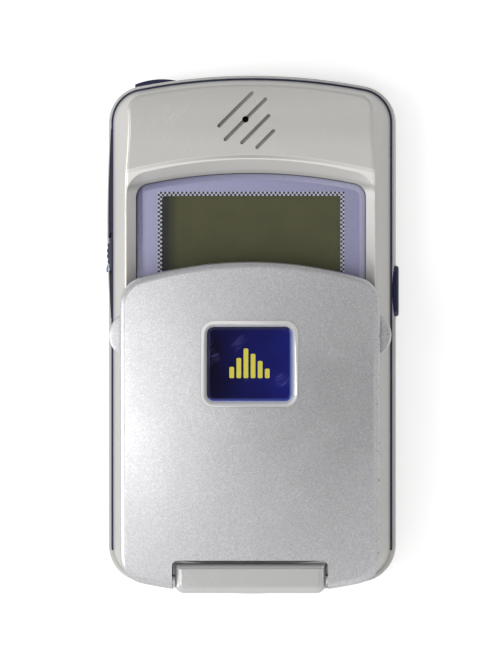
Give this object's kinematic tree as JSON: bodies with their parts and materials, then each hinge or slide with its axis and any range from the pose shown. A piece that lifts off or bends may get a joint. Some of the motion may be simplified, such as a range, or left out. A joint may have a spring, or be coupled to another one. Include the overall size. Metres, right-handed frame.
{
  "type": "flip phone",
  "caption": "Compact silver mobile phone with a bottom-hinged flip over its keypad, a framed LCD, side controls and a slide-off battery.",
  "frame": {"origin": "on the surface under the phone, below the middle of its bounding box", "axes": "+Z out of the phone's face, +Y towards its top end, +X to its right seen from the front"},
  "size_m": [0.0498, 0.088, 0.0241],
  "materials": {
    "silver_front": "satin metallic paint",
    "silver_flip": "satin metallic paint",
    "silver_rear": "satin metallic paint",
    "navy": "moulded in colour",
    "lens": "polished",
    "lavender_print": "printed film",
    "lcd": "reflective liquid crystal",
    "white_plastic": "moulded",
    "board": "solder mask",
    "rubber": "moulded",
    "black_plastic": "moulded",
    "steel": "bright",
    "gold": "gold flash",
    "chrome": "plated",
    "plaque": "clear window over navy",
    "key_cap": "painted",
    "cell": "sleeve",
    "card": "moulded"
  },
  "bodies": {
    "phone_body": {"rear_housing": "silver_rear", "mid_frame": "navy", "front_housing": "silver_front", "display_lens": "lens", "display_mask": "lavender_print", "lcd_glass": "lcd", "lcd_frame": "white_plastic", "main_board": "board", "dome_sheet": "steel", "keypad_mat": "rubber", "receiver": "black_plastic", "receiver_gasket": "rubber", "microphone": "black_plastic", "hinge_block": "silver_front", "hinge_shaft": "steel", "hinge_cam": "steel", "hinge_spring": "steel", "battery_contacts": "gold", "sim_holder": "steel", "shield_can": "steel", "loudspeaker": "black_plastic", "vibration_motor": "steel", "system_connector": "black_plastic", "antenna": "gold", "side_switches": "black_plastic", "side_strip": "navy", "jog_shaft": "steel", "case_screws": "steel"},
    "flip": {"flip_cover": "silver_flip", "flip_liner": "silver_rear", "flip_bumpers": "rubber", "plaque_bezel": "chrome", "plaque_window": "plaque"},
    "battery_pack": {"battery_case": "silver_rear", "battery_cell": "cell", "battery_cover": "black_plastic", "battery_terminals": "gold"},
    "latch": {"battery_latch": "silver_rear"},
    "card": {"sim_card": "card"},
    "volume_button": {"volume_key": "navy"},
    "power_button": {"power_key": "navy"},
    "dial": {"jog_dial": "black_plastic"},
    "hold_slider": {"hold_switch": "navy"},
    "key_1_button": {"key_1": "key_cap"},
    "key_2_button": {"key_2": "key_cap"},
    "key_3_button": {"key_3": "key_cap"},
    "key_4_button": {"key_4": "key_cap"},
    "key_5_button": {"key_5": "key_cap"},
    "key_6_button": {"key_6": "key_cap"},
    "key_7_button": {"key_7": "key_cap"},
    "key_8_button": {"key_8": "key_cap"},
    "key_9_button": {"key_9": "key_cap"},
    "key_star_button": {"key_star": "key_cap"},
    "key_0_button": {"key_0": "key_cap"},
    "key_hash_button": {"key_hash": "key_cap"},
    "key_call_button": {"key_call": "key_cap"},
    "key_menu_button": {"key_menu": "key_cap"},
    "key_end_button": {"key_end": "key_cap"}
  },
  "joints": [
    {"name": "flip_hinge", "type": "hinge", "parent": "phone_body", "child": "flip", "pos_m": [0, -0.0414, 0.0187], "axis": [1, 0, 0], "range_deg": [0, 145]},
    {"name": "battery_slide", "type": "slide", "parent": "phone_body", "child": "battery_pack", "axis": [0, -1, 0], "range_m": [0, 0.012]},
    {"name": "latch_slide", "type": "slide", "parent": "phone_body", "child": "latch", "axis": [0, 1, 0], "range_m": [0, 0.0015], "stiffness_N_per_m": 300},
    {"name": "sim_card_slide", "type": "slide", "parent": "phone_body", "child": "card", "axis": [1, 0, 0], "range_m": [0, 0.0035]},
    {"name": "volume_key_press", "type": "slide", "parent": "phone_body", "child": "volume_button", "axis": [-1, 0, 0], "range_m": [0, 0.0004], "stiffness_N_per_m": 400},
    {"name": "power_key_press", "type": "slide", "parent": "phone_body", "child": "power_button", "axis": [0, -1, 0], "range_m": [0, 0.0004], "stiffness_N_per_m": 400},
    {"name": "jog_dial_turn", "type": "hinge", "parent": "phone_body", "child": "dial", "pos_m": [-0.0172, 0.0138, 0.01], "axis": [0, 0, 1], "continuous": true},
    {"name": "hold_switch_slide", "type": "slide", "parent": "phone_body", "child": "hold_slider", "axis": [0, 1, 0], "range_m": [0, 0.0009]},
    {"name": "key_1_press", "type": "slide", "parent": "phone_body", "child": "key_1_button", "axis": [0, 0, -1], "range_m": [0, 0.00035], "stiffness_N_per_m": 400},
    {"name": "key_2_press", "type": "slide", "parent": "phone_body", "child": "key_2_button", "axis": [0, 0, -1], "range_m": [0, 0.00035], "stiffness_N_per_m": 400},
    {"name": "key_3_press", "type": "slide", "parent": "phone_body", "child": "key_3_button", "axis": [0, 0, -1], "range_m": [0, 0.00035], "stiffness_N_per_m": 400},
    {"name": "key_4_press", "type": "slide", "parent": "phone_body", "child": "key_4_button", "axis": [0, 0, -1], "range_m": [0, 0.00035], "stiffness_N_per_m": 400},
    {"name": "key_5_press", "type": "slide", "parent": "phone_body", "child": "key_5_button", "axis": [0, 0, -1], "range_m": [0, 0.00035], "stiffness_N_per_m": 400},
    {"name": "key_6_press", "type": "slide", "parent": "phone_body", "child": "key_6_button", "axis": [0, 0, -1], "range_m": [0, 0.00035], "stiffness_N_per_m": 400},
    {"name": "key_7_press", "type": "slide", "parent": "phone_body", "child": "key_7_button", "axis": [0, 0, -1], "range_m": [0, 0.00035], "stiffness_N_per_m": 400},
    {"name": "key_8_press", "type": "slide", "parent": "phone_body", "child": "key_8_button", "axis": [0, 0, -1], "range_m": [0, 0.00035], "stiffness_N_per_m": 400},
    {"name": "key_9_press", "type": "slide", "parent": "phone_body", "child": "key_9_button", "axis": [0, 0, -1], "range_m": [0, 0.00035], "stiffness_N_per_m": 400},
    {"name": "key_star_press", "type": "slide", "parent": "phone_body", "child": "key_star_button", "axis": [0, 0, -1], "range_m": [0, 0.00035], "stiffness_N_per_m": 400},
    {"name": "key_0_press", "type": "slide", "parent": "phone_body", "child": "key_0_button", "axis": [0, 0, -1], "range_m": [0, 0.00035], "stiffness_N_per_m": 400},
    {"name": "key_hash_press", "type": "slide", "parent": "phone_body", "child": "key_hash_button", "axis": [0, 0, -1], "range_m": [0, 0.00035], "stiffness_N_per_m": 400},
    {"name": "key_call_press", "type": "slide", "parent": "phone_body", "child": "key_call_button", "axis": [0, 0, -1], "range_m": [0, 0.00035], "stiffness_N_per_m": 400},
    {"name": "key_menu_press", "type": "slide", "parent": "phone_body", "child": "key_menu_button", "axis": [0, 0, -1], "range_m": [0, 0.00035], "stiffness_N_per_m": 400},
    {"name": "key_end_press", "type": "slide", "parent": "phone_body", "child": "key_end_button", "axis": [0, 0, -1], "range_m": [0, 0.00035], "stiffness_N_per_m": 400}
  ]
}
